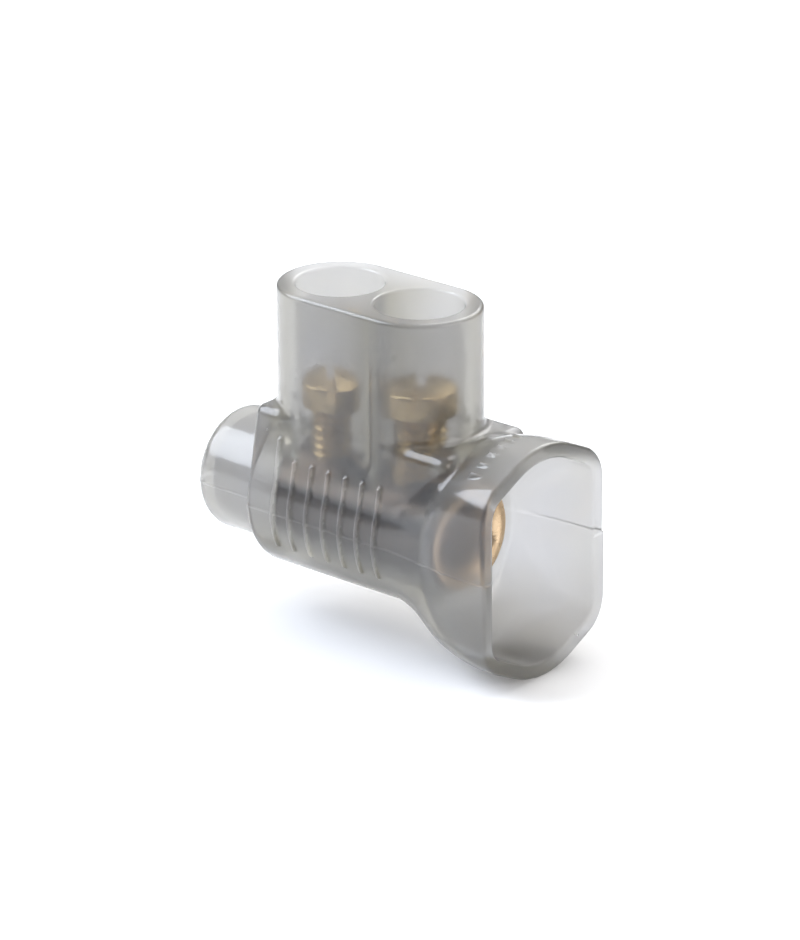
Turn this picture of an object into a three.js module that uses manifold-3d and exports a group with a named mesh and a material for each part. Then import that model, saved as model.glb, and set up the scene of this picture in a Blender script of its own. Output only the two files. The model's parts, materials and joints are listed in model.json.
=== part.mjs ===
// A twin-screw cable connector: a translucent insulating moulding round a brass tunnel, with two
// brass clamping screws that are driven down through the turret onto the cable ends.
//
// Millimetres, +X out of the cable mouth, +Z up the screw turret. Every shape is drawn about the
// cable tunnel's axis, with x = 0 in the plane of the mouth; the last lines move the whole group
// so that its origin is at the bottom centre of its box.
import * as THREE from "three";
import { mergeVertices } from "three/addons/utils/BufferGeometryUtils.js";
import Module from "manifold-3d";

// ---- driving dimensions ------------------------------------------------------------------------

const WALL = 1.4; // of the cable mouth
const FIT_GAP = 0.15; // all round the brass tunnel in the moulding
const THREAD_GAP = 0.1; // radial, between a screw's shank and its tapped hole

// Cable mouth: an upright six-sided collar with rounded corners. cornerZ and peakZ are where its
// straight sides would meet, before the corners are rounded.
const COLLAR = {
  halfWidth: 8.35,
  top: { cornerZ: 7.6, peakZ: 11.55 },
  bottom: { cornerZ: -8.15, peakZ: -12.1 },
  cornerR: 3.5,
  peakR: 9,
};

// Flare behind the collar: an oval cone that widens faster upwards and downwards than sideways.
// Each x is where it would leave a round barrel, and each slope is millimetres out per millimetre.
const FLARE = {
  side: { x: -10.3, slope: 0.37 },
  top: { x: -10.3, slope: 0.7 },
  under: { x: -12.6, slope: 0.74 },
};

// Cavity of the mouth: a flat back round the tunnel's end, then a round funnel, which also keeps
// a wall's thickness inside the flare.
const FUNNEL = { backX: -8.75, backR: 6.85, slope: 0.69 };

// Barrel: half round below the axis, with sides leaning in to a flat top above it.
const BARREL = {
  radius: 7.2,
  topHalfWidth: 5.55,
  topZ: 9.2,
  shoulderR: 1.1,
  rearX: -28.9,
  frontX: -6.5,
  edgeR: 0.8,
};

// Screw turret: a stadium-shaped tower with two round bores side by side.
const TURRET = { radius: 5.7, topZ: 20.5, boreR: 4.0, edgeR: 0.4 };
const SCREW_X = { rear: -23.4, front: -14.15 };

// Nose: a closed, hollow round end, where the ends of the conductors can be seen.
const NOSE = { radius: 5.75, endX: -36.4, edgeR: 1.5, wall: 1.1 };

// Grip ribs on both sides of the barrel. The rearmost one is the tallest.
const RIB = {
  count: 7,
  pitch: 1.985,
  width: 0.36,
  height: 0.3,
  frontX: -13.5,
  bottomZ: -3.0,
  topZ: 5.2,
  rearTopZ: 6.9,
};

// Brass tunnel.
const TUNNEL = { rearX: -27.2, frontX: -8.2, radius: 4.85, boreR: 3.2, leadIn: 0.9 };

// Clamping screws: slotted cheese head, shank and plain round point.
const THREAD_R = 2.5;
const HEAD = { radius: 3.4, height: 2.3, edge: 0.3, slotWidth: 1.0, slotDepth: 1.3 };
const SLOT_ANGLE = Math.PI / 5; // from across the part
const SHANK_LENGTH = 6.6;
const POINT = { radius: 1.9, length: 0.7 };
const HEAD_UNDERSIDE_Z = { rear: 9.2, front: 10.6 };

// Facets on the round shapes.
const BORE_FACETS = 40;
const SCREW_FACETS = 28;
const ARC_STEP = Math.PI / 20; // longest facet of an outline's arcs, as an angle

// ---- solids ------------------------------------------------------------------------------------

const wasm = await Module();
wasm.setup();

const ALONG_X = new THREE.Matrix4().makeBasis(
  new THREE.Vector3(0, 1, 0),
  new THREE.Vector3(0, 0, 1),
  new THREE.Vector3(1, 0, 0),
);
const TURN_TO_X = new THREE.Matrix4().makeRotationZ(-Math.PI / 2);
const TURN_TO_Z = new THREE.Matrix4().makeRotationX(Math.PI / 2);

// A closed geometry as a manifold-3d solid.
function solid(geometry) {
  const bare = geometry.clone();
  bare.deleteAttribute("normal");
  bare.deleteAttribute("uv");
  const merged = mergeVertices(bare, 1e-4);
  const corners = merged.index.array;
  const triVerts = [];
  for (let i = 0; i < corners.length; i += 3) {
    const [a, b, c] = corners.slice(i, i + 3);
    if (a !== b && b !== c && c !== a) triVerts.push(a, b, c);
  }
  return new wasm.Manifold(
    new wasm.Mesh({
      numProp: 3,
      vertProperties: merged.attributes.position.array,
      triVerts: new Uint32Array(triVerts),
    }),
  );
}

// A solid as a named mesh.
function part(name, made, material) {
  const mesh = made.getMesh();
  const geometry = new THREE.BufferGeometry();
  geometry.setAttribute("position", new THREE.BufferAttribute(mesh.vertProperties, 3));
  geometry.setIndex(new THREE.BufferAttribute(mesh.triVerts, 1));
  geometry.computeVertexNormals();
  const node = new THREE.Mesh(geometry, material);
  node.name = name;
  return node;
}

// An outline raised from the floor to a height. Its ends are rounded inwards by edgeR.
function raised(outline, height, edgeR = 0, edgeFacets = 3) {
  const geometry = new THREE.ExtrudeGeometry(new THREE.Shape(outline), {
    depth: height - 2 * edgeR,
    bevelEnabled: edgeR > 0,
    bevelThickness: edgeR,
    bevelSize: edgeR,
    bevelOffset: -edgeR,
    bevelSegments: edgeFacets,
  });
  return geometry.translate(0, 0, edgeR);
}

// An outline in the YZ plane, extruded from x0 to x1.
function prism(outline, x0, x1, edgeR = 0) {
  const geometry = raised(outline, x1 - x0, edgeR).translate(0, 0, x0);
  return solid(geometry.applyMatrix4(ALONG_X));
}

// A profile of [radius, position along the axis] pairs, turned about the tunnel's axis (X).
function turnedAlongX(profile, facets = BORE_FACETS) {
  const points = profile.map(([r, x]) => new THREE.Vector2(r, x));
  return solid(new THREE.LatheGeometry(points, facets).applyMatrix4(TURN_TO_X));
}

// A profile of [radius, height] pairs, turned about the vertical through x.
function turnedAlongZ(profile, x, facets = SCREW_FACETS) {
  const points = profile.map(([r, z]) => new THREE.Vector2(r, z));
  const geometry = new THREE.LatheGeometry(points, facets).applyMatrix4(TURN_TO_Z);
  return solid(geometry.translate(x, 0, 0));
}

const cylinderProfile = (radius, from, to) => [
  [0, from],
  [radius, from],
  [radius, to],
  [0, to],
];

// Points of a quarter round that turns a cylinder's side into its end face, from the side.
function roundedEdge(radius, end, edgeR, direction, facets = 4) {
  return Array.from({ length: facets + 1 }, (_, i) => {
    const angle = (i / facets) * (Math.PI / 2);
    const r = radius - edgeR * (1 - Math.cos(angle));
    return [r, end + direction * edgeR * (Math.sin(angle) - 1)];
  });
}

// ---- outlines ----------------------------------------------------------------------------------

// Points of an arc, anticlockwise.
function arc(centreY, centreZ, radius, from, to) {
  const turn = to > from ? to - from : to - from + 2 * Math.PI;
  const facets = Math.ceil(turn / ARC_STEP);
  return Array.from({ length: facets + 1 }, (_, i) => {
    const angle = from + (turn * i) / facets;
    return new THREE.Vector2(
      centreY + radius * Math.cos(angle),
      centreZ + radius * Math.sin(angle),
    );
  });
}

// The arc that rounds the corner "here", on an outline's way from "before" to "after".
function roundedCorner(before, here, after, radius) {
  const corner = new THREE.Vector2(...here);
  const back = new THREE.Vector2(...before).sub(corner).normalize();
  const on = new THREE.Vector2(...after).sub(corner).normalize();
  const half = Math.acos(back.dot(on)) / 2;
  const reach = radius / Math.tan(half);
  const centre = back.clone().add(on).setLength(radius / Math.sin(half)).add(corner);
  const start = corner.clone().addScaledVector(back, reach).sub(centre);
  const end = corner.clone().addScaledVector(on, reach).sub(centre);
  return arc(centre.x, centre.y, radius, start.angle(), end.angle());
}

// The mouth collar's outline, or the outline that lies inset inside it.
function collarOutline(inset = 0) {
  const { halfWidth, top, bottom, cornerR, peakR } = COLLAR;
  const y = halfWidth - inset;
  const slopingSide = ({ cornerZ, peakZ }) => {
    const lean = Math.atan2(peakZ - cornerZ, halfWidth);
    const peak = peakZ - (Math.sign(peakZ) * inset) / Math.cos(lean);
    return { peak, corner: peak - y * Math.tan(lean) };
  };
  const upper = slopingSide(top);
  const lower = slopingSide(bottom);
  const corners = [
    [0, lower.peak, peakR - inset],
    [y, lower.corner, cornerR - inset],
    [y, upper.corner, cornerR - inset],
    [0, upper.peak, peakR - inset],
    [-y, upper.corner, cornerR - inset],
    [-y, lower.corner, cornerR - inset],
  ];
  return corners.flatMap(([...corner], i) => {
    const radius = corner.pop();
    const before = corners.at(i - 1).slice(0, 2);
    const after = corners[(i + 1) % corners.length].slice(0, 2);
    return roundedCorner(before, corner, after, radius);
  });
}

// The barrel's outline: an arc below the axis, leaning sides and a flat top with rounded corners.
function barrelOutline(grow = 0) {
  const { topZ, shoulderR } = BARREL;
  const radius = BARREL.radius + grow;
  const left = [-BARREL.topHalfWidth - grow, topZ];
  const right = [BARREL.topHalfWidth + grow, topZ];
  return [
    ...arc(0, 0, radius, Math.PI, 2 * Math.PI),
    ...roundedCorner([radius, 0], right, left, shoulderR),
    ...roundedCorner(right, left, [-radius, 0], shoulderR),
  ];
}

// ---- insulating moulding -----------------------------------------------------------------------

function barrel() {
  return prism(barrelOutline(), BARREL.rearX, BARREL.frontX, BARREL.edgeR);
}

// An oval cone from inside the barrel to beyond the mouth, or the one that lies inset inside it.
function ovalCone(inset = 0) {
  const { side, top, under } = FLARE;
  const startX = under.x - 1;
  const endX = 1;
  const geometry = new THREE.LatheGeometry(
    cylinderProfile(1, startX, endX).map(([r, x]) => new THREE.Vector2(r, x)),
    2 * BORE_FACETS,
  ).applyMatrix4(TURN_TO_X);
  const place = geometry.attributes.position;
  for (let i = 0; i < place.count; i += 1) {
    const [x, y, z] = [place.getX(i), place.getY(i), place.getZ(i)];
    const radius = ({ x: fromX, slope }) => BARREL.radius - inset + slope * (x - fromX);
    place.setXYZ(i, x, radius(side) * y, radius(z > 0 ? top : under) * z);
  }
  return solid(geometry);
}

// The collar is a straight prism trimmed by the cone, which leaves the flare behind it.
function collar() {
  return prism(collarOutline(), FLARE.under.x - 2, 0).intersect(ovalCone());
}

function cavity() {
  const { backX, backR, slope } = FUNNEL;
  const reach = COLLAR.top.peakZ + 1;
  const cone = turnedAlongX(
    [
      [0, backX],
      [backR, backX],
      [reach, backX + (reach - backR) / slope],
      [reach, 2],
      [0, 2],
    ],
    2 * BORE_FACETS,
  );
  return prism(collarOutline(WALL), backX - 1, 1).intersect(cone).intersect(ovalCone(WALL));
}

function turret() {
  const outline = [
    ...arc(SCREW_X.front, 0, TURRET.radius, -Math.PI / 2, Math.PI / 2),
    ...arc(SCREW_X.rear, 0, TURRET.radius, Math.PI / 2, (3 * Math.PI) / 2),
  ];
  const footZ = TUNNEL.radius;
  const geometry = raised(outline, TURRET.topZ - footZ, TURRET.edgeR, 2);
  return solid(geometry.translate(0, 0, footZ));
}

function nose() {
  const { radius, endX, edgeR } = NOSE;
  const rounded = roundedEdge(radius, -endX, edgeR, 1).map(([r, x]) => [r, -x]);
  return turnedAlongX([[0, endX], ...rounded.reverse(), [radius, TUNNEL.rearX], [0, TUNNEL.rearX]]);
}

function noseHollow() {
  const { radius, endX, edgeR, wall } = NOSE;
  const innerR = radius - wall;
  const rounded = roundedEdge(innerR, -endX - wall, edgeR - wall, 1).map(([r, x]) => [r, -x]);
  const openX = TUNNEL.rearX + 1;
  return turnedAlongX([[0, endX + wall], ...rounded.reverse(), [innerR, openX], [0, openX]]);
}

// Untrimmed ribs on one side (1 or -1), which reach past the barrel's surface inwards and outwards.
function grip(side) {
  const depth = BARREL.radius / 2;
  const ribs = Array.from({ length: RIB.count }, (_, i) => {
    const topZ = i === RIB.count - 1 ? RIB.rearTopZ : RIB.topZ;
    const x = RIB.frontX - i * RIB.pitch;
    const box = new THREE.BoxGeometry(RIB.width, depth, topZ - RIB.bottomZ);
    return solid(box.translate(x, side * BARREL.radius, (topZ + RIB.bottomZ) / 2));
  });
  return ribs.reduce((all, rib) => all.add(rib));
}

// The barrel grown outwards by the ribs' height, which trims the ribs to follow its side.
function grownBarrel() {
  const grow = RIB.height;
  return prism(barrelOutline(grow), BARREL.rearX, BARREL.frontX);
}

function insulatingBody() {
  const seatR = TUNNEL.radius + FIT_GAP;
  const seat = turnedAlongX(cylinderProfile(seatR, TUNNEL.rearX - FIT_GAP, 1));
  const bores = Object.values(SCREW_X).map((x) =>
    turnedAlongZ(cylinderProfile(TURRET.boreR, TUNNEL.radius / 2, TURRET.topZ + 1), x, BORE_FACETS),
  );
  const ribs = grip(1).add(grip(-1)).intersect(grownBarrel());
  return [seat, cavity(), noseHollow(), ...bores].reduce(
    (body, cut) => body.subtract(cut),
    barrel().add(ribs).add(collar()).add(turret()).add(nose()),
  );
}

// ---- brass pieces ------------------------------------------------------------------------------

function brassTunnel() {
  const { rearX, frontX, radius, boreR, leadIn } = TUNNEL;
  const edge = 0.25;
  const tube = turnedAlongX([
    [boreR, rearX],
    [radius - edge, rearX],
    [radius, rearX + edge],
    [radius, frontX - edge],
    [radius - edge, frontX],
    [boreR + leadIn, frontX],
    [boreR, frontX - leadIn],
    [boreR, rearX],
  ]);
  const tappings = Object.values(SCREW_X).map((x) =>
    turnedAlongZ(cylinderProfile(THREAD_R, 0, radius + 1), x),
  );
  return tappings.reduce((body, cut) => body.subtract(cut), tube);
}

// The slotted head and the threaded shank, which turn.
function screw(x, undersideZ) {
  const { radius, height, edge, slotWidth, slotDepth } = HEAD;
  const shankR = THREAD_R - THREAD_GAP;
  const topZ = undersideZ + height;
  const blank = turnedAlongZ(
    [
      [0, undersideZ - SHANK_LENGTH],
      [shankR, undersideZ - SHANK_LENGTH],
      [shankR, undersideZ],
      [radius, undersideZ],
      [radius, topZ - edge],
      [radius - edge, topZ],
      [0, topZ],
    ],
    x,
  );
  const slot = new THREE.BoxGeometry(slotWidth, 3 * radius, 2 * slotDepth);
  slot.rotateZ(SLOT_ANGLE).translate(x, 0, topZ);
  return blank.subtract(solid(slot));
}

// The plain round point under the shank, which only travels.
function screwPoint(x, undersideZ) {
  const topZ = undersideZ - SHANK_LENGTH - THREAD_GAP;
  return turnedAlongZ(cylinderProfile(POINT.radius, topZ - POINT.length, topZ), x);
}

// ---- finishes ----------------------------------------------------------------------------------

const smokePlastic = () =>
  new THREE.MeshStandardMaterial({
    color: 0xb9b7ae,
    roughness: 0.22,
    metalness: 0,
    transparent: true,
    opacity: 0.45,
  });
const brass = () =>
  new THREE.MeshStandardMaterial({ color: 0xb48a4a, roughness: 0.3, metalness: 1 });

// ---- assembly ----------------------------------------------------------------------------------

const group = new THREE.Group();
group.add(part("insulating_body", insulatingBody(), smokePlastic()));
group.add(part("brass_tunnel", brassTunnel(), brass()));
for (const [place, x] of Object.entries(SCREW_X)) {
  const undersideZ = HEAD_UNDERSIDE_Z[place];
  group.add(part(`${place}_clamp_screw`, screw(x, undersideZ), brass()));
  group.add(part(`${place}_screw_point`, screwPoint(x, undersideZ), brass()));
}
const box = new THREE.Box3().setFromObject(group);
group.position.set(-(box.min.x + box.max.x) / 2, 0, -box.min.z);

export default group;
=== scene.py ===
# %% [markdown]
# # An insulated cable connector
#
# The object is a small twin-screw connector: a translucent plastic moulding round a turned brass
# tunnel, with two slotted brass screws down in a turret. The CAD model holds its sizes and its
# joints. This file gives it its looks: rounded moulded plastic that light passes through, real
# screw threads and brass that has been turned on a lathe.
#
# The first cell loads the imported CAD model. Everything that follows is placed from it.

# %% Load the frame
import json
import math

import bmesh
import bpy
import numpy as np
from mathutils import Euler, Matrix, Vector

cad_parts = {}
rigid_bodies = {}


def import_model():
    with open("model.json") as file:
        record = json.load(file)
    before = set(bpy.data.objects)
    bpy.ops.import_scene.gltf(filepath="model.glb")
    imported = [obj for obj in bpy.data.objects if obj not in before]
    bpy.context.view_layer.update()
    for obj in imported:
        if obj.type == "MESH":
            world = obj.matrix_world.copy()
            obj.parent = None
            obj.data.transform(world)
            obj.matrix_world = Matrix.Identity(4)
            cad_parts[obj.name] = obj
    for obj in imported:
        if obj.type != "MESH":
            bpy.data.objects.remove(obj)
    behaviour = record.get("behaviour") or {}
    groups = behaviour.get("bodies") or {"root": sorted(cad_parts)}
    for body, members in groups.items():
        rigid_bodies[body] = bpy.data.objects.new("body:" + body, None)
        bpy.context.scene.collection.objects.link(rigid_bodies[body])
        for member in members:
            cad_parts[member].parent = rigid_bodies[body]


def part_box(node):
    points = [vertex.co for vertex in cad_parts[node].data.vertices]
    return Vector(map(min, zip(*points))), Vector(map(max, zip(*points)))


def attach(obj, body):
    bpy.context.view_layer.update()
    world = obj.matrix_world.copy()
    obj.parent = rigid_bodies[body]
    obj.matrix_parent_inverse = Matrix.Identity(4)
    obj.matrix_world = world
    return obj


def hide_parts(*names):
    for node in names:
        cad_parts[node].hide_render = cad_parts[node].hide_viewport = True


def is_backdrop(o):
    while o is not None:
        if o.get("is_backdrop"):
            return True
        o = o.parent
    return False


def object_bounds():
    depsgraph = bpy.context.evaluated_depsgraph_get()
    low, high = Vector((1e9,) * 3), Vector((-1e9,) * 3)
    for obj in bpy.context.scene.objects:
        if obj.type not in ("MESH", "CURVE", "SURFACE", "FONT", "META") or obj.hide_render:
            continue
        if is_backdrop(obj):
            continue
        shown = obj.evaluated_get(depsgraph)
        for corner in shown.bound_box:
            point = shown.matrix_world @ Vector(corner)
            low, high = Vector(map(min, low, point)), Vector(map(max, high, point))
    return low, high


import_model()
cad_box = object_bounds()

# %% [markdown]
# ## Where things are
#
# The moulding is easiest to describe in millimetres about the cable tunnel's axis, with x = 0 in
# the plane of the mouth. The CAD boxes say where that axis is, where the screws stand and how far
# each piece reaches, so only the sizes that a box can't tell are written down here.

# %% Read the main places from the CAD model
MM = 0.001

body_low, body_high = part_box("insulating_body")
tunnel_low, tunnel_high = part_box("brass_tunnel")
AXIS_ORIGIN = Vector((body_high.x, 0, (tunnel_low.z + tunnel_high.z) / 2))


def along_axis(corner):
    """A CAD point in millimetres about the tunnel's axis."""
    return (corner - AXIS_ORIGIN) / MM


NOSE_END_X = along_axis(body_low).x
TURRET_TOP_Z = along_axis(body_high).z
TUNNEL_REAR_X = along_axis(tunnel_low).x
TUNNEL_FRONT_X = along_axis(tunnel_high).x
TUNNEL_R = along_axis(tunnel_high).z

SCREWS = {}
for place in ("rear", "front"):
    head_low, head_high = map(along_axis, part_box(f"{place}_clamp_screw"))
    point_low = along_axis(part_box(f"{place}_screw_point")[0])
    SCREWS[place] = {
        "x": (head_low.x + head_high.x) / 2,
        "head_top": head_high.z,
        "shank_end": head_low.z,
        "tip": point_low.z,
    }
    print(place, "screw:", {key: round(value, 2) for key, value in SCREWS[place].items()})

TURRET_X = (SCREWS["rear"]["x"] + SCREWS["front"]["x"]) / 2
print("mouth plane to nose end:", round(-NOSE_END_X, 2), "mm")

# %% [markdown]
# ## The camera
#
# A small object seen from half a metre away through a long lens has little perspective. The
# camera looks at the foot of the turret from the front right, a little above it, and is hardly
# tilted. Its place is a direction and a distance from that foot, so it follows the CAD model.

# %% Stand the camera
AZIMUTH, ELEVATION, ROLL = (math.radians(angle) for angle in (40.75, 21.48, -0.34))
DISTANCE = 0.4481
LENS = 225
ASIDE = Vector((0.00168, 0.00341))

back = Vector(
    (
        math.sin(AZIMUTH) * math.cos(ELEVATION),
        -math.cos(AZIMUTH) * math.cos(ELEVATION),
        math.sin(ELEVATION),
    )
)
level = Vector((math.cos(AZIMUTH), math.sin(AZIMUTH), 0))
right = Matrix.Rotation(ROLL, 3, back) @ level
up = back.cross(right)

turret_foot = AXIS_ORIGIN + Vector((TURRET_X * MM, 0, 0))
camera = bpy.data.objects.new("camera", bpy.data.cameras.new("camera"))
bpy.context.scene.collection.objects.link(camera)
camera.data.lens = LENS
camera.data.sensor_fit = "HORIZONTAL"
camera.data.clip_start = 0.01
rotation = Matrix((right, up, back)).transposed().to_4x4()
stand = turret_foot + back * DISTANCE + right * ASIDE.x + up * ASIDE.y
camera.matrix_world = Matrix.Translation(stand) @ rotation
bpy.context.scene.camera = camera
print("camera stands at", [round(c, 3) for c in camera.location])

# %% [markdown]
# ## Moulded plastic from a distance field
#
# A moulding is one lump with a rounded corner wherever two faces meet. Booleans and bevels make
# such corners with trouble, because each bevel has to find its own edges. A distance field makes
# them with none: each shape is a formula that says how far a point is outside it (negative
# inside), and joining or cutting two formulas can round the corner between them by any radius.
# The surface is then read off a grid. All four helpers below work on whole arrays of points.

# %% Join and cut distances with rounded corners


def overlap(a, b, radius):
    """Inside both a and b, with a convex corner of that radius."""
    a_in, b_in = a + radius, b + radius
    corner = np.hypot(np.maximum(a_in, 0), np.maximum(b_in, 0))
    return np.minimum(np.maximum(a_in, b_in), 0) + corner - radius


def join(a, b, radius):
    """Inside a or b, with a hollow fillet of that radius."""
    return -overlap(-a, -b, radius)


def cut(a, b, radius):
    """Inside a but outside b, with a rounded edge of that radius."""
    return overlap(a, -b, radius)


def disc(u, v, radius):
    """Distance from a circle about the origin of two coordinates."""
    return np.hypot(u, v) - radius


print("a 1 mm round takes", round(float(overlap(0, 0, 1)), 3), "mm off a square corner")

# %% [markdown]
# Two of the moulding's sections aren't circles: the barrel's and the cable mouth's. Each is a
# polygon with rounded corners, and its distance is exact: the nearest of its arcs and straight
# sides. Drawing the arcs as short chords would be less work, but the chords would show as facets.

# %% Measure the distance from a polygon with rounded corners


def corner_arcs(corners):
    """(centre, radius, first normal, last normal) at each anticlockwise (y, z, radius) corner."""
    arcs = []
    for i, (y, z, radius) in enumerate(corners):
        here = Vector((y, z))
        onto = (here - Vector(corners[i - 1][:2])).normalized()
        away = (Vector(corners[(i + 1) % len(corners)][:2]) - here).normalized()
        first, last = Vector((onto.y, -onto.x)), Vector((away.y, -away.x))
        middle = (first + last).normalized()
        centre = here - middle * radius / middle.dot(first)
        arcs.append((centre, radius, first, last))
    return arcs


def outline_distance(y, z, arcs, slack=1e-6):
    """Signed distance of each (y, z) from a convex outline of arcs and the sides between them."""
    nearest = np.full(np.broadcast(y, z).shape, np.inf)

    def keep(distance, faces_it):
        return np.where(faces_it & (np.abs(distance) < np.abs(nearest)), distance, nearest)

    for i, (centre, radius, first, last) in enumerate(arcs):
        v, w = y - centre.x, z - centre.y
        past_first = first.x * w - first.y * v >= -slack
        before_last = v * last.y - w * last.x >= -slack
        nearest = keep(np.hypot(v, w) - radius, past_first & before_last)

        next_centre, next_radius = arcs[(i + 1) % len(arcs)][:2]
        start = centre + radius * last
        side = next_centre + next_radius * last - start
        along = ((y - start.x) * side.x + (z - start.y) * side.y) / side.length_squared
        beyond = (y - start.x) * last.x + (z - start.y) * last.y
        nearest = keep(beyond, (along >= -slack) & (along <= 1 + slack))
    return nearest


square = corner_arcs([(1, -1, 0.2), (1, 1, 0.2), (-1, 1, 0.2), (-1, -1, 0.2)])
print("3 mm from the middle of a 2 mm square:", outline_distance(3.0, 0.0, square), "mm outside")

# %% [markdown]
# ## The shape of the moulding
#
# From the rear: a closed hollow nose, a barrel with grip ribs, a turret of two bores in one
# stadium-shaped wall, and an upright mouth that flares out of the barrel, with a row of small
# raised bars on top. The tool that moulded it opened at the height of the tunnel's axis, so a
# thin flash line runs there, and at the mouth its lower half sits a little to one side of the
# upper half.

# %% Sizes of the moulding, in millimetres
WALL = 1.4
BARREL_R, BARREL_TOP_HALF, BARREL_TOP_Z = 7.2, 5.55, 9.2
BARREL_REAR_X, BARREL_FRONT_X = -28.9, -6.5
TURRET_R, BORE_R, BORE_FOOT_Z = 5.7, 4.0, 2.4
NOSE_R, NOSE_WALL = 5.75, 1.1
NOSE_FRONT_X, NOSE_HOLLOW_FRONT_X = -20, -26
SEAT_R, SEAT_REAR_X, SEAT_FRONT_X = TUNNEL_R + 0.1, TUNNEL_REAR_X - 0.15, 1
FUNNEL_X, FUNNEL_R, FUNNEL_SLOPE = -8.75, 6.85, 0.69
MOUTH_HALF = 8.35
MOUTH_TOP, MOUTH_TOP_CORNER = 11.55, 7.6
MOUTH_FOOT, MOUTH_FOOT_CORNER = -12.1, -8.15
FLARES = {"side": (-10.3, 0.37), "top": (-10.3, 0.7), "under": (-12.6, 0.74)}
FLARE_REAR_X = -15
RIB_XS = [-13.5 - 1.985 * i for i in range(7)]
RIB_PROUD, RIB_HALF_WIDTH = 0.3, 0.2
RIB_FOOT_Z, RIB_TOP_Z, REAR_RIB_TOP_Z = -3.4, 5.2, 6.9
FLASH_PROUD, FLASH_HALF_WIDTH = 0.07, 0.13
MOULD_STEP = 0.25
MARK_YS = [-5.6 + 1.2 * i for i in range(6)]
MARK_X, MARK_HALF_LENGTH, MARK_HALF_WIDTH, MARK_PROUD = -3.3, 0.6, 0.14, 0.13
print(len(RIB_XS), "ribs on each side,", len(MARK_YS), "raised bars on the mouth")

# %% Radii of its rounded edges and fillets, in millimetres
SHOULDER_R, MOUTH_CORNER_R, MOUTH_PEAK_R = 1.1, 3.5, 9
BARREL_END_R, NOSE_END_R, TURRET_EDGE_R = 0.8, 1.5, 0.4
FLARE_EDGE_R, RIM_OUTER_R, RIM_INNER_R = 1.8, 0.35, 0.25
RIB_EDGE_R, RIB_CREST_R, MARK_EDGE_R = 0.1, 0.15, 0.08
NOSE_FILLET, RIB_FILLET, MOUTH_FILLET, TURRET_FILLET = 0.35, 0.12, 0.9, 0.6
FUNNEL_WALL_R, FUNNEL_RIM_R, FUNNEL_FOOT_R = 0.8, 0.5, 0.2
BORE_EDGE_R, SEAT_EDGE_R, NOSE_HOLLOW_END_R = 0.25, 0.1, 0.8
print("edges from", MARK_EDGE_R, "to", FLARE_EDGE_R, "mm")

# %% Outlines of the barrel and the mouth
BARREL_ARCS = corner_arcs(
    [
        (BARREL_R, 0, 0),
        (BARREL_TOP_HALF, BARREL_TOP_Z, SHOULDER_R),
        (-BARREL_TOP_HALF, BARREL_TOP_Z, SHOULDER_R),
        (-BARREL_R, 0, 0),
    ]
)
MOUTH_ARCS = corner_arcs(
    [
        (0, MOUTH_FOOT, MOUTH_PEAK_R),
        (MOUTH_HALF, MOUTH_FOOT_CORNER, MOUTH_CORNER_R),
        (MOUTH_HALF, MOUTH_TOP_CORNER, MOUTH_CORNER_R),
        (0, MOUTH_TOP, MOUTH_PEAK_R),
        (-MOUTH_HALF, MOUTH_TOP_CORNER, MOUTH_CORNER_R),
        (-MOUTH_HALF, MOUTH_FOOT_CORNER, MOUTH_CORNER_R),
    ]
)


def barrel_side(y, z):
    """Round below, with sides that lean in to a flat top above."""
    return np.minimum(outline_distance(y, z, BARREL_ARCS), disc(y, z, BARREL_R))


print("corners:", len(BARREL_ARCS), "on the barrel,", len(MOUTH_ARCS), "on the mouth")

# %% [markdown]
# The outer skin is the sum of the four forms, the ribs and the raised bars. The flare is an oval
# cone: it leaves the barrel further back underneath than at the sides, and rises faster. The
# flash line is the whole skin moved out by less than a tenth of a millimetre where z is near 0.

# %% The outer skin


def flare_distance(x, y, z):
    """Distance from the oval cone behind the mouth, which has its own slope on each side."""

    def radius(side):
        start, slope = FLARES[side]
        return BARREL_R + slope * (x - start)

    across = np.maximum(radius("side"), 1)
    upright = np.maximum(np.where(z > 0, radius("top"), radius("under")), 1)
    return (np.hypot(y / across, z / upright) - 1) * np.minimum(across, upright)


def rib_distance(x, z, side):
    """Distance from the nearest grip rib, whose side face is given as a distance."""
    ribs = np.inf
    for rib_x in RIB_XS:
        top = REAR_RIB_TOP_Z if rib_x == RIB_XS[-1] else RIB_TOP_Z
        middle, half = (top + RIB_FOOT_Z) / 2, (top - RIB_FOOT_Z) / 2
        across = np.abs(x - rib_x) - RIB_HALF_WIDTH
        ribs = np.minimum(ribs, overlap(across, np.abs(z - middle) - half, RIB_EDGE_R))
    return overlap(ribs, side - RIB_PROUD, RIB_CREST_R)


def mark_distance(x, y, z, mouth_side):
    """Distance from the row of small raised bars on top of the mouth."""
    across = np.inf
    for mark_y in MARK_YS:
        across = np.minimum(across, np.abs(y - mark_y) - MARK_HALF_WIDTH)
    bars = overlap(across, np.abs(x - MARK_X) - MARK_HALF_LENGTH, MARK_EDGE_R)
    return overlap(bars, np.maximum(mouth_side - MARK_PROUD, -z), MARK_EDGE_R)


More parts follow.
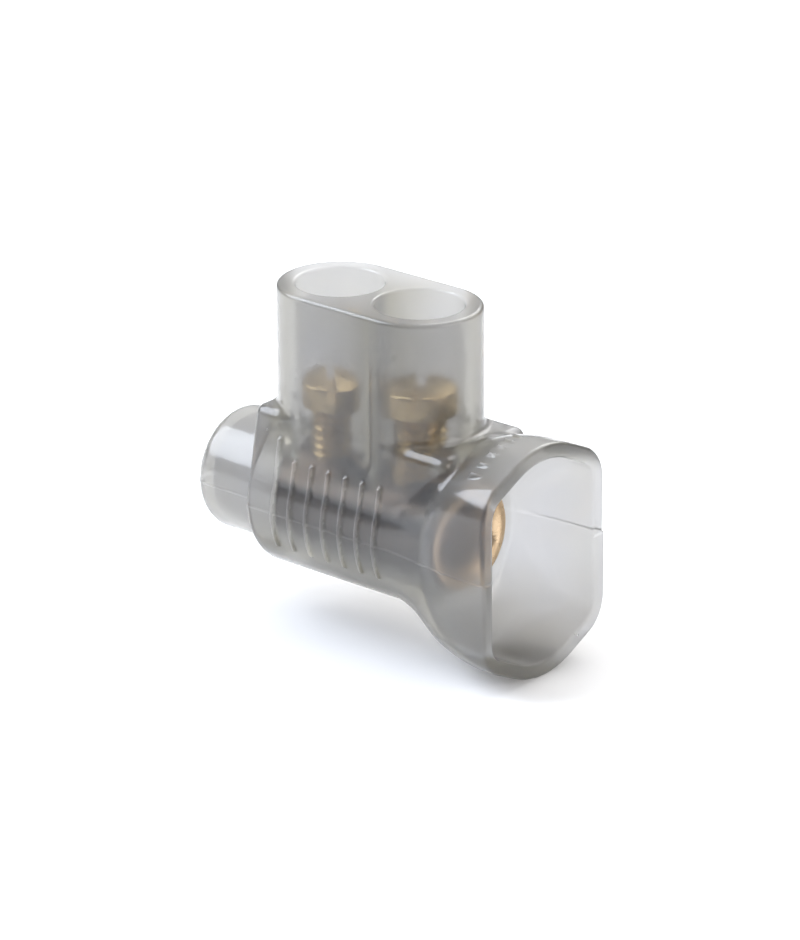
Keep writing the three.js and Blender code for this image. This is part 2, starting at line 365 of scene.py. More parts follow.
def outer_skin(x, y, z):
    """Distance from the moulding as it would be without its hollows."""
    side = barrel_side(y, z)
    barrel = overlap(side, np.maximum(BARREL_REAR_X - x, x - BARREL_FRONT_X), BARREL_END_R)
    nose_ends = np.maximum(NOSE_END_X - x, x - NOSE_FRONT_X)
    nose = overlap(disc(y, z, NOSE_R), nose_ends, NOSE_END_R)

    from_middle = np.maximum(np.abs(x - TURRET_X) - (SCREWS["front"]["x"] - TURRET_X), 0)
    turret_ends = np.maximum(z - TURRET_TOP_Z, -z)
    turret = overlap(disc(from_middle, y, TURRET_R), turret_ends, TURRET_EDGE_R)

    lower_half = np.clip(0.5 - z / FLASH_HALF_WIDTH, 0, 1)
    mouth_side = outline_distance(y - MOULD_STEP * lower_half, z, MOUTH_ARCS)
    mouth = overlap(mouth_side, flare_distance(x, y, z), FLARE_EDGE_R)
    mouth = overlap(mouth, np.maximum(x, FLARE_REAR_X - x), RIM_OUTER_R)
    mouth = join(mouth, mark_distance(x, y, z, mouth_side), MARK_EDGE_R)

    skin = join(barrel, nose, NOSE_FILLET)
    skin = join(skin, rib_distance(x, z, side), RIB_FILLET)
    skin = join(skin, mouth, MOUTH_FILLET)
    flash = FLASH_PROUD * np.maximum(1 - np.abs(z) / FLASH_HALF_WIDTH, 0)
    return join(skin - flash, turret, TURRET_FILLET)


turret_middle = outer_skin(TURRET_X, 0.0, (BARREL_TOP_Z + TURRET_TOP_Z) / 2)
print("middle of the turret:", round(-float(turret_middle), 2), "mm inside the skin")

# %% [markdown]
# The hollows are cut out of that: the tunnel's seat, the two bores that run down to it, the
# funnel of the mouth, whose flat back is round the tunnel's end, and the hollow of the nose. The
# funnel keeps a full wall's thickness inside the mouth's sides and inside the flare alike.

# %% The hollows


def cavity_distance(x, y, z):
    """Distance from the funnel of the mouth."""
    wall_side = outline_distance(y, z, MOUTH_ARCS) + WALL
    funnel = disc(y, z, FUNNEL_R + (x - FUNNEL_X) / FUNNEL_SLOPE) * FUNNEL_SLOPE
    funnel = overlap(funnel, flare_distance(x, y, z) + WALL, FUNNEL_WALL_R)
    return overlap(overlap(wall_side, funnel, FUNNEL_RIM_R), FUNNEL_X - x, FUNNEL_FOOT_R)


def moulding(x, y, z):
    """Distance from the whole moulding, with its hollows cut out."""
    solid = outer_skin(x, y, z)
    solid = cut(solid, cavity_distance(x, y, z), RIM_INNER_R)

    seat_ends = np.maximum(SEAT_REAR_X - x, x - SEAT_FRONT_X)
    solid = cut(solid, np.maximum(disc(y, z, SEAT_R), seat_ends), SEAT_EDGE_R)

    inner_end = NOSE_END_X + NOSE_WALL - x
    hollow_ends = np.maximum(inner_end, x - NOSE_HOLLOW_FRONT_X)
    hollow = overlap(disc(y, z, NOSE_R - NOSE_WALL), hollow_ends, NOSE_HOLLOW_END_R)
    solid = cut(solid, hollow, SEAT_EDGE_R)

    for screw in SCREWS.values():
        bore = np.maximum(disc(x - screw["x"], y, BORE_R), BORE_FOOT_Z - z)
        solid = cut(solid, bore, BORE_EDGE_R)
    return solid


beside_bore = moulding(SCREWS["front"]["x"], (BORE_R + TURRET_R) / 2, BARREL_TOP_Z + 5.0)
print("middle of the wall beside a bore:", round(-float(beside_bore), 2), "mm deep in it")

# %% [markdown]
# ## Reading the surface off a grid
#
# A surface net puts one vertex in each grid cell that the surface passes through, and one quad
# across each grid edge that it crosses. The grid's lines needn't be evenly spaced: they lie closer
# at the ribs, the flash line and the rims, which is where the small shapes are.

# %% Grid lines that close up where the detail is
COARSE, FINE = ((0.24, 0.09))


def grid_lines(low, high, fine_places, reach=0.35):
    lines = [low]
    while lines[-1] < high:
        here = lines[-1] + COARSE / 2
        close = any(abs(here - place) < reach for place in fine_places)
        lines.append(lines[-1] + (FINE if close else COARSE))
    return np.array(lines)


MARGIN = 1
grid_x = grid_lines(NOSE_END_X - MARGIN, MARGIN, RIB_XS + [0, FUNNEL_X])
grid_y = grid_lines(-MOUTH_HALF - MARGIN, MOUTH_HALF + MARGIN, [])
grid_z = grid_lines(MOUTH_FOOT, TURRET_TOP_Z + MARGIN, [0, TURRET_TOP_Z])
print("grid:", len(grid_x), "x", len(grid_y), "x", len(grid_z))

# %% Surface net


def surface_net(field, lines):
    """(vertices, quads) of the zero surface of a field on a grid."""
    cells = np.array(field.shape) - 1
    total = np.zeros((cells.prod(), 3))
    count = np.zeros(cells.prod())
    quads = []
    for axis in range(3):
        low = np.moveaxis(field, axis, 0)[:-1]
        high = np.moveaxis(field, axis, 0)[1:]
        found = np.stack(np.nonzero((low < 0) != (high < 0)), axis=1)
        below, above = low[tuple(found.T)], high[tuple(found.T)]
        others = [a for a in range(3) if a != axis]
        at = np.empty_like(found)
        at[:, axis], at[:, others[0]], at[:, others[1]] = found.T
        share = below / (below - above)
        point = np.stack([lines[a][at[:, a]] for a in range(3)], axis=1)
        step = np.diff(lines[axis])[at[:, axis]]
        point[:, axis] += share * step
        ring = []
        for shift in ((1, 1), (0, 1), (0, 0), (1, 0)):
            cell = at.copy()
            cell[:, others[0]] -= shift[0]
            cell[:, others[1]] -= shift[1]
            ring.append(np.ravel_multi_index(cell.T, cells))
            for part in range(3):
                total[:, part] += np.bincount(ring[-1], point[:, part], len(count))
            count += np.bincount(ring[-1], minlength=len(count))
        ring = np.stack(ring, axis=1)
        leaves = (below < 0) != (axis == 1)
        quads.append(np.where(leaves[:, None], ring, ring[:, ::-1]))
    used = np.nonzero(count)[0]
    number = np.full(len(count), -1)
    number[used] = np.arange(len(used))
    return total[used] / count[used, None], number[np.concatenate(quads)]


def ball(x, y, z):
    """Distance from a ball of 1 mm radius, to try the net on."""
    return np.sqrt(x**2 + y**2 + z**2) - 1


ball_line = np.linspace(-1.2, 1.2, 9)
ball_points, ball_quads = surface_net(ball(*np.ix_(*[ball_line] * 3)), [ball_line] * 3)
print("a ball takes", len(ball_quads), "quads,", round(np.abs(ball(*ball_points.T)).max(), 3),
      "mm off at most")

# %% [markdown]
# The net's vertices lie within a small part of a cell of the true surface. Steps along the
# field's slope bring them onto it, which keeps long reflections straight. Between the steps each
# vertex is drawn halfway to the middle of its neighbours, so that the quads stay square and none
# folds over at a small radius.

# %% Settle the vertices on the true surface
LEAST_STEEPNESS, LONGEST_MOVE = 0.25, 0.15


def slope_of(shape, points, step=0.02):
    """The field's value and slope at each point."""
    value = shape(*points.T)
    slope = np.empty_like(points)
    for axis in range(3):
        ahead, behind = points.copy(), points.copy()
        ahead[:, axis] += step
        behind[:, axis] -= step
        slope[:, axis] = (shape(*ahead.T) - shape(*behind.T)) / (2 * step)
    return value, slope


def settle(shape, points):
    """One step towards the true surface."""
    value, slope = slope_of(shape, points)
    steepness = np.maximum((slope**2).sum(axis=1), LEAST_STEEPNESS)
    move = np.clip(value / steepness, -LONGEST_MOVE, LONGEST_MOVE)
    return points - move[:, None] * slope


def even_out(points, quads):
    """Draw each vertex halfway to the middle of its neighbours."""
    total, count = np.zeros_like(points), np.zeros(len(points))
    for corner in range(4):
        for neighbour in (corner - 1, (corner + 1) % 4):
            here, there = quads[:, corner], points[quads[:, neighbour]]
            count += np.bincount(here, minlength=len(points))
            for axis in range(3):
                total[:, axis] += np.bincount(here, there[:, axis], len(points))
    return (points + total / count[:, None]) / 2


settled = settle(ball, even_out(ball_points, ball_quads))
print("settled, it is", round(np.abs(ball(*settled.T)).max(), 5), "mm off at most")

# %% Make a mesh object from arrays in millimetres


def mesh_object(name, points, faces):
    """A mesh of points in millimetres about the tunnel's axis, placed in the frame."""
    mesh = bpy.data.meshes.new(name)
    placed = np.asarray(points) * MM + np.array(AXIS_ORIGIN)
    mesh.from_pydata(placed.tolist(), [], np.asarray(faces).tolist())
    mesh.validate()
    mesh.polygons.foreach_set("use_smooth", [True] * len(mesh.polygons))
    made = bpy.data.objects.new(name, mesh)
    bpy.context.scene.collection.objects.link(made)
    return made


# %% Mould the body
SETTLING_PASSES = 3
body_field = moulding(*np.ix_(grid_x, grid_y, grid_z))
body_points, body_quads = surface_net(body_field, (grid_x, grid_y, grid_z))
for _ in range(SETTLING_PASSES):
    body_points = settle(moulding, even_out(body_points, body_quads))
body_points = settle(moulding, body_points)
moulded_body = mesh_object("moulded_body", body_points, body_quads)
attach(moulded_body, "connector")
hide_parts("insulating_body")
print("moulded body:", len(moulded_body.data.polygons), "quads")

# %% [markdown]
# Thin edges of this plastic look paler than the walls, because the light that gets into them
# comes straight out again. That light is painted: the ribs, the raised bars and the flash line get
# a mask, kept as an attribute of the mesh, that mixes near white painted light into their colour.

# %% Mark the edges that get painted light
# The flash line gets half as much painted light as the ribs and the bars.
NEAR_SHAPE, NEAR_SKIN, FLASH_PAINTED_LIGHT = 0.06, 0.05, 0.5


def painted_light_share(x, y, z):
    """Share of painted light: 1 on the ribs and the raised bars, less on the flash line, 0
    elsewhere.
    """
    side = barrel_side(y, z)
    on_rib = (side > RIB_PROUD / 2) & (rib_distance(x, z, side) < NEAR_SHAPE)
    mouth_side = outline_distance(y, z, MOUTH_ARCS)
    near_mark = mark_distance(x, y, z, mouth_side) < NEAR_SHAPE
    on_mark = (mouth_side > MARK_PROUD / 2) & near_mark
    on_flash = (np.abs(z) < FLASH_HALF_WIDTH) & (outer_skin(x, y, z) > -NEAR_SKIN)
    return np.where(on_rib | on_mark, 1, FLASH_PAINTED_LIGHT * on_flash)


painted_light_values = painted_light_share(*body_points.T)
painted_edge_light = moulded_body.data.attributes.new("painted_edge_light", "FLOAT", "POINT")
painted_edge_light.data.foreach_set("value", painted_light_values.astype(np.float32))
print("pale vertices:", np.count_nonzero(painted_light_values))

# %% [markdown]
# ## Turned pieces
#
# Everything in brass comes off a lathe, so one helper serves all of it: a profile of radius and
# height, spun about an axis. A thread is the same surface with its radius pushed in and out by a
# wave that climbs one pitch in each turn.

# %% Spin a profile
PITCH = 0.8
THREAD_DEPTH = 0.42
FLANK_STEEPNESS, CREST_SHARE, RUN_OUT_SHARE = 1.25, 0.12, 0.25


def spun(name, profile, segments=96, along="z", thread=None):
    """A surface of revolution through (radius, height) points, closed on itself or on the axis.

    thread is (lowest, highest) height of the stretch that carries a right-hand thread.
    """
    angles = np.arange(segments) * 2 * math.pi / segments
    rows = []
    for radius, height in profile:
        radii = np.full(segments, float(radius))
        if thread and thread[0] <= height <= thread[1]:
            phase = height / PITCH - angles / (2 * math.pi)
            wave = np.abs(2 * (phase - np.floor(phase + 0.5)))
            ends = min(height - thread[0], thread[1] - height) / (PITCH / 2)
            groove = np.clip(FLANK_STEEPNESS * wave - CREST_SHARE, 0, 1)
            radii -= THREAD_DEPTH * groove * min(1, ends + RUN_OUT_SHARE)
        row = [radii * np.cos(angles), radii * np.sin(angles), np.full(segments, height)]
        rows.append(np.stack(row, axis=1))
    points = np.concatenate(rows)
    if along == "x":
        points = points[:, [2, 0, 1]]
    closed = profile[0][0] > 0
    faces = []
    row_count = len(profile)
    for row in range(row_count if closed else row_count - 1):
        here, above = row * segments, (row + 1) % row_count * segments
        for i in range(segments):
            j = (i + 1) % segments
            faces.append((here + i, here + j, above + j, above + i))
    made = mesh_object(name, points, faces)
    edit = bmesh.new()
    edit.from_mesh(made.data)
    bmesh.ops.remove_doubles(edit, verts=edit.verts, dist=1e-7)
    bmesh.ops.recalc_face_normals(edit, faces=edit.faces)
    edit.to_mesh(made.data)
    edit.free()
    return made


def rounded_corner(radius, height, size, outward, upward, steps=4):
    """Profile points of a quarter round between a side and an end, in that order."""
    points = []
    for step in range(steps + 1):
        angle = math.pi / 2 * step / steps
        r = radius - outward * size * (1 - math.cos(angle))
        points.append((r, height - upward * size * (1 - math.sin(angle))))
    return points


# %% Cut one piece out of another, then round its sharp edges


def cut_out(piece, cutter, edge=0.0):
    """The piece without the cutter's space, its sharp edges rounded by edge in millimetres."""
    hole = piece.modifiers.new("cut", "BOOLEAN")
    hole.operation, hole.solver, hole.object = "DIFFERENCE", "EXACT", cutter
    if edge:
        soften = piece.modifiers.new("soften", "BEVEL")
        soften.width, soften.segments = edge * MM, 2
        soften.limit_method, soften.angle_limit = "ANGLE", math.radians(35)
    evaluated = piece.evaluated_get(bpy.context.evaluated_depsgraph_get())
    mesh = bpy.data.meshes.new_from_object(evaluated)
    piece.modifiers.clear()
    piece.data = mesh
    bpy.data.objects.remove(cutter)
    return piece


def shade_by_angle(piece, degrees=32):
    """Smooth across gentle angles, and sharp across the rest."""
    edit = bmesh.new()
    edit.from_mesh(piece.data)
    for edge in edit.edges:
        edge.smooth = edge.is_manifold and edge.calc_face_angle(0) < math.radians(degrees)
    for face in edit.faces:
        face.smooth = True
    edit.to_mesh(piece.data)
    edit.free()


# %% [markdown]
# ## The brass tunnel
#
# The tunnel is a plain tube: the cable ends go into its bore, whose front edge is opened out so
# that strands don't catch. Its two tapped holes are cut with cylinders on the screws' axes. Its
# outside gets a second material slot, a brass darkened almost to black brown as painted shade.

# %% Turn the tunnel
TUNNEL_BORE_R, LEAD_IN, TUNNEL_EDGE = 3.2, 0.9, 0.25
LEAD_IN_CURVE = ((1, 0), (0.62, 0.2), (0.28, 0.5), (0.07, 0.85), (0, 1.2))
THREAD_R = 2.5


def tunnel_profile():
    """Once round the tube's wall: the outside, the lead-in, and back along the bore."""
    lead_in = [
        (TUNNEL_BORE_R + LEAD_IN * wider, TUNNEL_FRONT_X - LEAD_IN * deeper)
        for wider, deeper in LEAD_IN_CURVE
    ]
    return [
        *reversed(rounded_corner(TUNNEL_R, TUNNEL_REAR_X, TUNNEL_EDGE, 1, -1)),
        *rounded_corner(TUNNEL_R, TUNNEL_FRONT_X, TUNNEL_EDGE, 1, 1),
        *lead_in,
        (TUNNEL_BORE_R, TUNNEL_REAR_X),
    ]


tunnel = spun("turned_tunnel", tunnel_profile(), along="x")
for place, screw in SCREWS.items():
    tapping = spun(
        f"{place}_tapping",
        [(0, 0), (THREAD_R, 0), (THREAD_R, TUNNEL_R + 1), (0, TUNNEL_R + 1)],
        segments=64,
    )
    tapping.location.x = screw["x"] * MM
    bpy.context.view_layer.update()
    cut_out(tunnel, tapping)
shade_by_angle(tunnel)
for face in tunnel.data.polygons:
    middle = along_axis(face.center)
    # Faces on the outside take the second slot, the brass darkened as painted shade.
    face.material_index = int(math.hypot(middle.y, middle.z) > TUNNEL_R - 0.1)
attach(tunnel, "connector")
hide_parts("brass_tunnel")
print("tunnel:", len(tunnel.data.polygons), "faces")

# %% [markdown]
# ## The clamping screws
#
# Each is an M5 cheese-head screw with a plain round point. The head and the threaded shank turn.
# The point is round, so whether it turns can't be seen, and it rides on the body that only
# travels. The slot is cut across the head at an angle that the last hand to tighten it left. A
# short neck under the head is turned down to the depth of the thread, as a tool has to run out.

# %% Turn the screws
HEAD_R, HEAD_HEIGHT, HEAD_EDGE, HEAD_UNDER_EDGE = 3.4, 2.3, 0.3, 0.12
SLOT_WIDTH, SLOT_DEPTH, SLOT_EDGE, SLOT_ANGLE = 1.0, 1.3, 0.07, math.pi / 5
SHANK_R = THREAD_R - 0.06
NECK_R, NECK_LENGTH, NECK_SLOPE, NECK_FILLET = SHANK_R - THREAD_DEPTH, 0.5, 0.2, 0.1
POINT_R, POINT_EDGE, POINT_FLAT_R, POINT_GAP = 1.9, 0.35, 1.45, 0.02
ROWS_PER_PITCH = 10


def thread_top(screw):
    """The height where the thread ends, at the foot of the neck."""
    return screw["head_top"] - HEAD_HEIGHT - NECK_LENGTH


def screw_profile(screw):
    """Once up the screw's side: the threaded shank, the neck and the head."""
    top, end = screw["head_top"], screw["shank_end"]
    under = top - HEAD_HEIGHT
    threaded = thread_top(screw) - end
    rows = round(threaded / PITCH * ROWS_PER_PITCH)
    shank = [(SHANK_R, end + threaded * row / rows) for row in range(rows + 1)]
    return [
        (0, end),
        (NECK_R, end),
        *shank,
        (NECK_R, thread_top(screw) + NECK_SLOPE),
        (NECK_R, under - NECK_FILLET),
        (NECK_R + NECK_FILLET, under),
        *reversed(rounded_corner(HEAD_R, under, HEAD_UNDER_EDGE, 1, -1)),
        *rounded_corner(HEAD_R, top, HEAD_EDGE, 1, 1),
        (0, top),
    ]


def clamp_screw(place, screw):
    """The head and the shank, with the slot cut."""
    thread = (screw["shank_end"], thread_top(screw))
    made = spun(f"turned_{place}_screw", screw_profile(screw), thread=thread)
    made.location.x = screw["x"] * MM
    slot = bpy.data.meshes.new("slot")
    edit = bmesh.new()
    bmesh.ops.create_cube(edit, size=1)
    edit.to_mesh(slot)
    edit.free()
    cutter = bpy.data.objects.new("slot", slot)
    bpy.context.scene.collection.objects.link(cutter)
    cutter.scale = (SLOT_WIDTH * MM, 3 * HEAD_R * MM, 2 * SLOT_DEPTH * MM)
    cutter.rotation_euler = Euler((0, 0, SLOT_ANGLE))
    cutter.location = AXIS_ORIGIN + Vector((screw["x"], 0, screw["head_top"])) * MM
    bpy.context.view_layer.update()
    cut_out(made, cutter, edge=SLOT_EDGE)
    shade_by_angle(made)
    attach(made, f"{place}_screw")
    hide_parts(f"{place}_clamp_screw")
    return made


def screw_point(place, screw):
    """The plain point, a hair short of the shank so that the two never touch."""
    top = screw["shank_end"] - POINT_GAP
    profile = [
        (0, screw["tip"]),
        (POINT_FLAT_R, screw["tip"]),
        *reversed(rounded_corner(POINT_R, screw["tip"], POINT_EDGE, 1, -1)),
        (POINT_R, top),
        (0, top),
    ]
    made = spun(f"turned_{place}_point", profile, segments=64)
    made.location.x = screw["x"] * MM
    bpy.context.view_layer.update()
    shade_by_angle(made)
    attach(made, f"{place}_travel")
    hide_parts(f"{place}_screw_point")
    return made


clamp_screws = [clamp_screw(place, screw) for place, screw in SCREWS.items()]
screw_points = [screw_point(place, screw) for place, screw in SCREWS.items()]
print("screws:", [len(piece.data.polygons) for piece in clamp_screws], "faces")

# %% [markdown]
# ## Finishes
#
# Three small node groups hold the effects: cloudiness, specks and tool rings. Each puts out only
# a value or a mask, and the shaders themselves stay in the materials.

# %% Helpers for node trees


def new_group(name, inputs, outputs):
    """A shader node group with float inputs {name: default} and outputs {name: socket type}."""
    group = bpy.data.node_groups.new(name, "ShaderNodeTree")
    for label, default in inputs.items():
        socket = group.interface.new_socket(label, in_out="INPUT", socket_type="NodeSocketFloat")
        socket.default_value = default
    for label, kind in outputs.items():
        group.interface.new_socket(label, in_out="OUTPUT", socket_type=kind)
    return group, group.nodes.new("NodeGroupInput"), group.nodes.new("NodeGroupOutput")


def add(tree, kind, values=None, links=None, **settings):
    """A node with its plain settings, its sockets' values, and links into its sockets."""
    node = tree.nodes.new(kind)
    for key, value in settings.items():
        setattr(node, key, value)
    for key, value in (values or {}).items():
        node.inputs[key].default_value = value
    for key, source in (links or {}).items():
        tree.links.new(source, node.inputs[key])
    return node


# %% Cloudiness: slow changes from place to place


def make_cloudiness():
    group, given, result = new_group(
        "cloudiness", {"Scale": 200.0, "Low": 0.0, "High": 1.0}, {"Value": "NodeSocketFloat"}
    )
    place = add(group, "ShaderNodeTexCoord").outputs["Object"]
    noise = add(
        group,
        "ShaderNodeTexNoise",
        {"Detail": 3.0, "Roughness": 0.55},
        {"Vector": place, "Scale": given.outputs["Scale"]},
    )
    spread = add(
        group,
        "ShaderNodeMapRange",
        {"From Min": 0.15, "From Max": 0.85},
        {
            "Value": noise.outputs["Fac"],
            "To Min": given.outputs["Low"],
            "To Max": given.outputs["High"],
        },
        clamp=False,
    )
    group.links.new(spread.outputs["Result"], result.inputs["Value"])
    return group


cloudiness = make_cloudiness()
print("made the group", cloudiness.name)

# %% Specks: a few dark grains caught in the plastic


def make_specks():
    group, given, result = new_group(
        "specks", {"Scale": 300.0, "Size": 0.06, "Share": 0.1}, {"Mask": "NodeSocketFloat"}
    )
    place = add(group, "ShaderNodeTexCoord").outputs["Object"]
    cells = add(
        group, "ShaderNodeTexVoronoi", {}, {"Vector": place, "Scale": given.outputs["Scale"]}
    )
    near = add(
        group,
        "ShaderNodeMath",
        {},
        {0: cells.outputs["Distance"], 1: given.outputs["Size"]},
        operation="LESS_THAN",
    )
    draw = add(group, "ShaderNodeSeparateColor", {}, {"Color": cells.outputs["Color"]})
    chosen = add(
        group,
        "ShaderNodeMath",
        {},
        {0: draw.outputs["Red"], 1: given.outputs["Share"]},
        operation="LESS_THAN",
    )
    both = add(
        group,
        "ShaderNodeMath",
        {},
        {0: near.outputs["Value"], 1: chosen.outputs["Value"]},
        operation="MULTIPLY",
    )
    group.links.new(both.outputs["Value"], result.inputs["Mask"])
    return group


specks = make_specks()
print("made the group", specks.name)

# %% [markdown]
# The plastic is clear enough to see brass through and cloudy enough to blur it. Rough
# transmission does the blurring, a thin smooth coat keeps the skin glossy, and a little plain
# diffuse colour is the milkiness. What light loses on its way through thick plastic is volume
# absorption, so the thin walls stay pale and the heavy ones turn smoky. The index of refraction
# is set well under the true 1.5: each wall is crossed twice, and at 1.5 the rough inner faces
# would mirror the studio and read as glass.

# %% Smoke plastic


def make_smoke_plastic():
    material = bpy.data.materials.new("smoke_plastic")
    material.use_nodes = True
    tree = material.node_tree
    shader = tree.nodes["Principled BSDF"]
    shader.inputs["IOR"].default_value = 1.17
    shader.inputs["Transmission Weight"].default_value = 0.91
    shader.inputs["Coat Weight"].default_value = 0.7
    shader.inputs["Coat Roughness"].default_value = 0.12
    shader.inputs["Coat IOR"].default_value = 1.5

    warm = add(tree, "ShaderNodeGroup", {"Scale": 110.0}, node_tree=cloudiness)
    tint = add(
        tree,
        "ShaderNodeMix",
        {"A": (0.56, 0.565, 0.6, 1), "B": (0.6, 0.59, 0.565, 1)},
        {"Factor": warm.outputs["Value"]},
        data_type="RGBA",
    )
    dark = add(
        tree,
        "ShaderNodeGroup",
        {"Scale": 260.0, "Size": 0.05, "Share": 0.04},
        node_tree=specks,
    )
    marked = add(
        tree,
        "ShaderNodeMix",
        {"B": (0.12, 0.11, 0.1, 1)},
        {"Factor": dark.outputs["Mask"], "A": tint.outputs["Result"]},
        data_type="RGBA",
    )
    # Painted light: the ribs, the raised bars and the flash line are mixed towards near white.
    painted_edge_light = add(tree, "ShaderNodeAttribute", attribute_name="painted_edge_light").outputs["Fac"]
    edged = add(
        tree,
        "ShaderNodeMix",
        {"B": (0.95, 0.95, 0.97, 1)},
        {"Factor": painted_edge_light, "A": marked.outputs["Result"]},
        data_type="RGBA",
    )
    tree.links.new(edged.outputs["Result"], shader.inputs["Base Color"])

    haze = add(
        tree, "ShaderNodeGroup", {"Scale": 260.0, "Low": 0.26, "High": 0.36}, node_tree=cloudiness
    )
    tree.links.new(haze.outputs["Value"], shader.inputs["Roughness"])

    ripple = add(
        tree, "ShaderNodeGroup", {"Scale": 420.0, "Low": 0.0, "High": 1.0}, node_tree=cloudiness
    )
    bump = add(
        tree,
        "ShaderNodeBump",
        {"Strength": 0.03, "Distance": 0.00002},
        {"Height": ripple.outputs["Value"]},
    )
    tree.links.new(bump.outputs["Normal"], shader.inputs["Normal"])

    absorb = add(
        tree, "ShaderNodeVolumeAbsorption", {"Color": (0.55, 0.525, 0.42, 1), "Density": 170.0}
    )
    tree.links.new(absorb.outputs["Volume"], tree.nodes["Material Output"].inputs["Volume"])
    return material


smoke_plastic = make_smoke_plastic()
moulded_body.data.materials.append(smoke_plastic)
print("smoke plastic:", len(smoke_plastic.node_tree.nodes), "nodes")

# %% [markdown]
# Turned brass shows the fine rings that the tool left, and grows duller and redder where it has
# been handled or has stood in air. The screws are the brightest and the tunnel's bore is redder.
# The tunnel's outside is painted almost black brown: painted shade, for the dark it shows.

# %% Tool rings, for anything that came off a lathe


def make_tool_rings():
    group, given, result = new_group(
        "tool_rings", {"Scale": 1200.0, "Waver": 0.4}, {"Height": "NodeSocketFloat"}
    )
    place = add(group, "ShaderNodeTexCoord").outputs["Object"]
    noise = add(
        group,
        "ShaderNodeTexNoise",
        {"Detail": 3.0, "Scale": 700.0, "Roughness": 0.6},
        {"Vector": place},
    )
    rings = add(
        group,
        "ShaderNodeTexWave",
        {"Distortion": 0.6, "Detail": 1.0, "Detail Scale": 2.0},
        {"Vector": place, "Scale": given.outputs["Scale"]},
        wave_type="BANDS",
        bands_direction="Z",
    )
    mixed = add(
        group,
        "ShaderNodeMix",
        {},
        {"Factor": given.outputs["Waver"], "A": rings.outputs["Fac"], "B": noise.outputs["Fac"]},
    )
    group.links.new(mixed.outputs["Result"], result.inputs["Height"])
    return group


tool_rings = make_tool_rings()
print("made the group", tool_rings.name)

# %% Brass
FINISHES = {
    "tunnel_brass": ((0.78, 0.6, 0.4), (0.6, 0.42, 0.25), 0.28, 900.0),
    # The tunnel's outside: near black brown, painted shade for the dark it shows under the
    # plastic.
    "painted_shade_brass": ((0.17, 0.12, 0.085), (0.08, 0.062, 0.052), 0.24, 900.0),
    "screw_brass": ((0.88, 0.7, 0.38), (0.62, 0.44, 0.22), 0.24, 1500.0),
}
SMOOTHER, ROUGHER = 0.08, 0.1


def make_brass(name, clean, dull, roughness, ring_scale):
    """Brass that changes between a clean and a dull colour, with tool rings."""
    material = bpy.data.materials.new(name)
    material.use_nodes = True
    tree = material.node_tree
    shader = tree.nodes["Principled BSDF"]
    shader.inputs["Metallic"].default_value = 1.0

    age = add(tree, "ShaderNodeGroup", {"Scale": 320.0}, node_tree=cloudiness)
    colour = add(
        tree,
        "ShaderNodeMix",
        {"A": (*clean, 1), "B": (*dull, 1)},
        {"Factor": age.outputs["Value"]},
        data_type="RGBA",
    )
    tree.links.new(colour.outputs["Result"], shader.inputs["Base Color"])
    wear = add(
        tree,
        "ShaderNodeGroup",
        {"Scale": 700.0, "Low": roughness - SMOOTHER, "High": roughness + ROUGHER},
        node_tree=cloudiness,
    )
    tree.links.new(wear.outputs["Value"], shader.inputs["Roughness"])
    rings = add(tree, "ShaderNodeGroup", {"Scale": ring_scale}, node_tree=tool_rings)
    bump = add(
        tree,
        "ShaderNodeBump",
        {"Strength": 0.2, "Distance": 0.00002},
        {"Height": rings.outputs["Height"]},
    )
    tree.links.new(bump.outputs["Normal"], shader.inputs["Normal"])
    return material


brass = {name: make_brass(name, *finish) for name, finish in FINISHES.items()}
tunnel.data.materials.append(brass["tunnel_brass"])
# The second slot, the tunnel's outside, gets the brass darkened as painted shade.
tunnel.data.materials.append(brass["painted_shade_brass"])
for piece in clamp_screws + screw_points:
    piece.data.materials.append(brass["screw_brass"])
print("materials:", [material.name for material in bpy.data.materials])

# %% [markdown]
# ## Floor and light
#
# The floor is pale and plain. A soft light stands high at the left and leaves the highlights on
# the nose and the mouth's shoulder, one behind the object shines through the plastic, and one
# fills from the right. The sky of the studio is brightest above and behind, and dark on the
# camera's side. That dark side is what brass and clear plastic need: with white all round, brass
# looks like paint and plastic like silver.

# %% Lay the floor


def make_floor():
    mesh = bpy.data.meshes.new("floor")
    edit = bmesh.new()
    bmesh.ops.create_grid(edit, x_segments=1, y_segments=1, size=4)
    edit.to_mesh(mesh)
    edit.free()
    floor = bpy.data.objects.new("floor", mesh)
    bpy.context.scene.collection.objects.link(floor)
    material = bpy.data.materials.new("floor")
    material.use_nodes = True
    shader = material.node_tree.nodes["Principled BSDF"]
    shader.inputs["Base Color"].default_value = (0.93, 0.93, 0.93, 1)
    shader.inputs["Roughness"].default_value = 0.8
    mesh.materials.append(material)
    floor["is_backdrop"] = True
    return floor


print("laid the", make_floor().name)

# %% Hang the lights


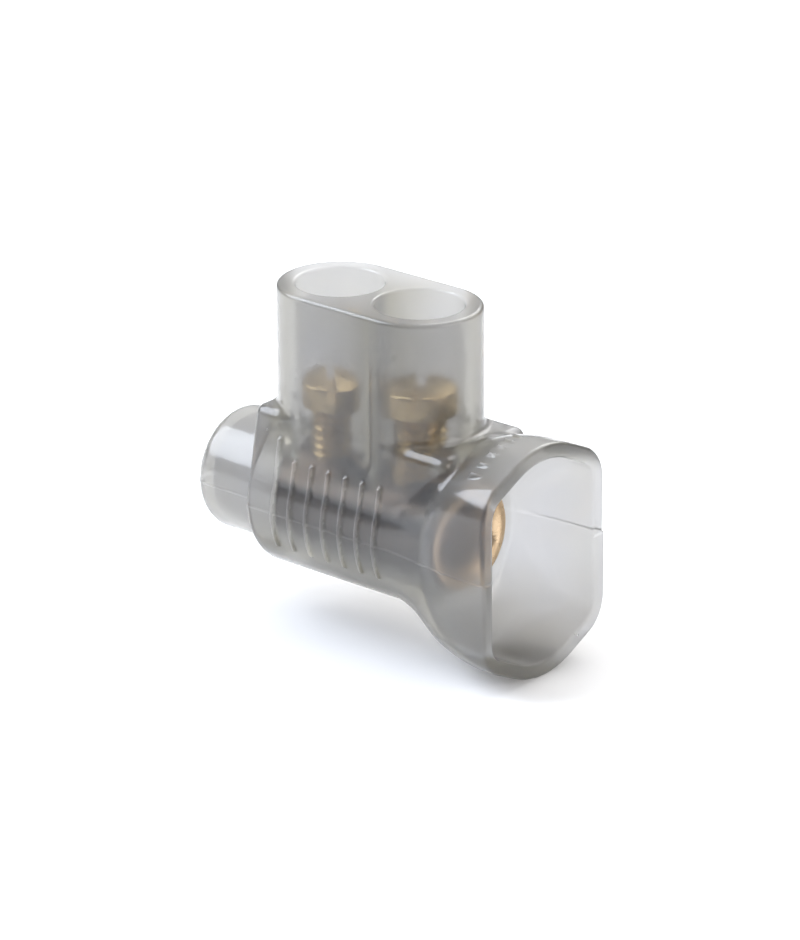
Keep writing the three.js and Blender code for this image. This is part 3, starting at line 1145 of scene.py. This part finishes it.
def soft_light(name, direction, distance, size, power, colour=(1, 1, 1)):
    """An area light that faces the object from a direction."""
    data = bpy.data.lights.new(name, "AREA")
    data.shape, data.size, data.size_y = "RECTANGLE", *size
    data.energy, data.color = power, colour
    light = bpy.data.objects.new(name, data)
    bpy.context.scene.collection.objects.link(light)
    towards = Vector(direction).normalized()
    light.location = turret_foot + towards * distance
    light.rotation_euler = towards.to_track_quat("Z", "Y").to_euler()
    print(name, "hangs", distance, "m away")


soft_light("key_light", (-0.66, -0.4, 0.64), 0.9, (0.6, 0.6), 10.0, (0.84, 0.9, 1.0))
soft_light("back_light", (-0.2, 0.9, 0.75), 1.2, (0.9, 0.7), 7.0)
soft_light("side_light", (0.85, 0.15, 0.4), 1.1, (0.8, 0.5), 5.0, (1.0, 0.97, 0.93))

# %% Light the sky of the studio


def make_sky():
    world = bpy.data.worlds.new("studio")
    bpy.context.scene.world = world
    world.use_nodes = True
    tree = world.node_tree
    direction = add(tree, "ShaderNodeTexCoord").outputs["Generated"]
    brightest = Vector((-0.3, 0.35, 0.86)).normalized()
    facing = add(
        tree, "ShaderNodeVectorMath", {1: brightest}, {0: direction}, operation="DOT_PRODUCT"
    )
    grade = add(
        tree,
        "ShaderNodeMapRange",
        {"From Min": 0.3, "From Max": 0.95},
        {"Value": facing.outputs["Value"]},
        interpolation_type="SMOOTHSTEP",
    )
    shade = add(
        tree,
        "ShaderNodeMix",
        {"A": (0.035, 0.037, 0.055, 1), "B": (1, 1, 1, 1)},
        {"Factor": grade.outputs["Result"]},
        data_type="RGBA",
    )
    background = tree.nodes["Background"]
    background.inputs["Strength"].default_value = 1.4
    tree.links.new(shade.outputs["Result"], background.inputs["Color"])
    return world


print("lit the", make_sky().name)
bpy.context.scene.view_settings.view_transform = "Standard"

# %% [markdown]
# ## Size against the CAD model
#
# The looks must not make the object bigger than its CAD model, so both boxes are printed.

# %% Print the sizes
visual_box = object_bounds()
sizes = {
    "cad": [list(map(float, corner)) for corner in cad_box],
    "visual": [list(map(float, corner)) for corner in visual_box],
}
for label, (low, high) in sizes.items():
    print(label, [round((b - a) / MM, 2) for a, b in zip(low, high)], "mm")
